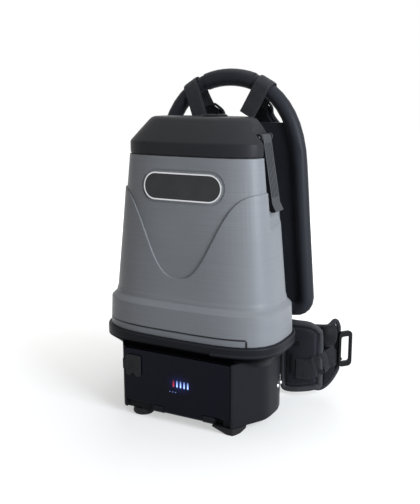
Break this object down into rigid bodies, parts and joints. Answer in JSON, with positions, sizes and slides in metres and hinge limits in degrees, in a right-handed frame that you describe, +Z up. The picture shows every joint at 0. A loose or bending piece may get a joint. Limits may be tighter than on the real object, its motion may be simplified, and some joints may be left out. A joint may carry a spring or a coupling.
{
  "type": "backpack vacuum cleaner",
  "caption": "Battery backpack vacuum cleaner: grey tank with latched lid and hose inlet, black base with hinged battery door, arched carrying frame, padded harness and waist belt.",
  "frame": {"origin": "on the floor, under the centre of the whole part's box", "axes": "+Z up, -Y the machine's front, +Y the wearer's side, +X to the right seen from the front"},
  "size_m": [0.463, 0.3012, 0.602],
  "materials": {
    "tank_grey": "moulded, fine satin grain",
    "trim_grey": "moulded, semi-gloss",
    "bezel_silver": "satin chromed plastic",
    "plate_black": "plain dark inlay, satin",
    "lid_charcoal": "moulded, satin",
    "base_black": "moulded, satin",
    "door_black": "moulded, semi-gloss",
    "latch_grey": "moulded, satin",
    "soft_black": "moulded, matt",
    "steel": "plated, satin",
    "light_blue": "clear light guides",
    "motor_metal": "cast, satin",
    "board_green": "coated board",
    "brass": "plain",
    "cell_grey": "moulded, matt",
    "filter_white": "pleated filter fleece",
    "filter_dark": "open foam",
    "bag_fleece": "filter fleece",
    "bag_card": "pressed card",
    "frame_black": "moulded, satin",
    "pad_mesh": "padded spacer mesh",
    "webbing": "woven webbing",
    "buckle_black": "moulded, satin"
  },
  "bodies": {
    "machine": {"base_housing": "base_black", "body_shell": "tank_grey", "skirt_trim": "trim_grey", "badge_bezel": "bezel_silver", "badge_plate": "plate_black", "motor_deck": "base_black", "motor_filter": "filter_white", "motor_unit": "motor_metal", "inlet_seal": "soft_black", "motor_cradle": "soft_black", "control_board": "board_green", "battery_terminals": "brass", "battery_pack": "cell_grey", "exhaust_filter": "filter_dark", "foot_front_left": "soft_black", "foot_front_right": "soft_black", "feet_rear": "soft_black", "side_rivets": "steel", "door_pin": "steel", "back_frame": "frame_black", "frame_bracket_upper": "frame_black", "frame_bracket_lower": "frame_black", "frame_bolts": "steel", "back_pad": "pad_mesh", "lumbar_pad": "pad_mesh", "strap_loop_right": "webbing", "strap_loop_left": "webbing", "shoulder_pad_right": "pad_mesh", "shoulder_pad_left": "pad_mesh", "adjuster_right": "buckle_black", "adjuster_left": "buckle_black", "lower_strap_right": "webbing", "lower_strap_left": "webbing"},
    "lid": {"lid_shell": "lid_charcoal", "lid_gasket": "soft_black", "hose_inlet": "base_black", "bag_collar": "bag_card", "dust_bag": "bag_fleece", "latch_pins": "steel"},
    "latch_right_body": {"latch_right": "latch_grey"},
    "latch_left_body": {"latch_left": "latch_grey"},
    "door": {"battery_door": "door_black", "status_lights": "light_blue"},
    "door_catch": {"door_latch": "base_black"},
    "belt_right": {"belt_wing_right": "pad_mesh", "hip_cover_right": "pad_mesh", "belt_web_right": "webbing", "belt_buckle_right": "buckle_black"},
    "belt_left": {"belt_wing_left": "pad_mesh", "hip_cover_left": "pad_mesh", "belt_web_left": "webbing", "belt_buckle_left": "buckle_black"}
  },
  "joints": [
    {"name": "lid_lift", "type": "slide", "parent": "machine", "child": "lid", "axis": [0, 0, 1], "range_m": [0, 0.12]},
    {"name": "latch_right_swing", "type": "hinge", "parent": "lid", "child": "latch_right_body", "pos_m": [0.1135, -0.04056, 0.489], "axis": [0, -1, 0], "range_deg": [0, 60]},
    {"name": "latch_left_swing", "type": "hinge", "parent": "lid", "child": "latch_left_body", "pos_m": [-0.1135, -0.04056, 0.489], "axis": [0, 1, 0], "range_deg": [0, 60]},
    {"name": "door_swing", "type": "hinge", "parent": "machine", "child": "door", "pos_m": [0.0135, -0.13956, 0.021], "axis": [1, 0, 0], "range_deg": [0, 90]},
    {"name": "door_catch_slide", "type": "slide", "parent": "door", "child": "door_catch", "axis": [1, 0, 0], "range_m": [0, 0.006], "stiffness_N_per_m": 200},
    {"name": "belt_right_fold", "type": "hinge", "parent": "machine", "child": "belt_right", "pos_m": [0.1086, 0.07694, 0.079], "axis": [0, 0, 1], "range_deg": [-15, 60]},
    {"name": "belt_left_fold", "type": "hinge", "parent": "machine", "child": "belt_left", "pos_m": [-0.1086, 0.07694, 0.079], "axis": [0, 0, -1], "range_deg": [-15, 60]}
  ]
}
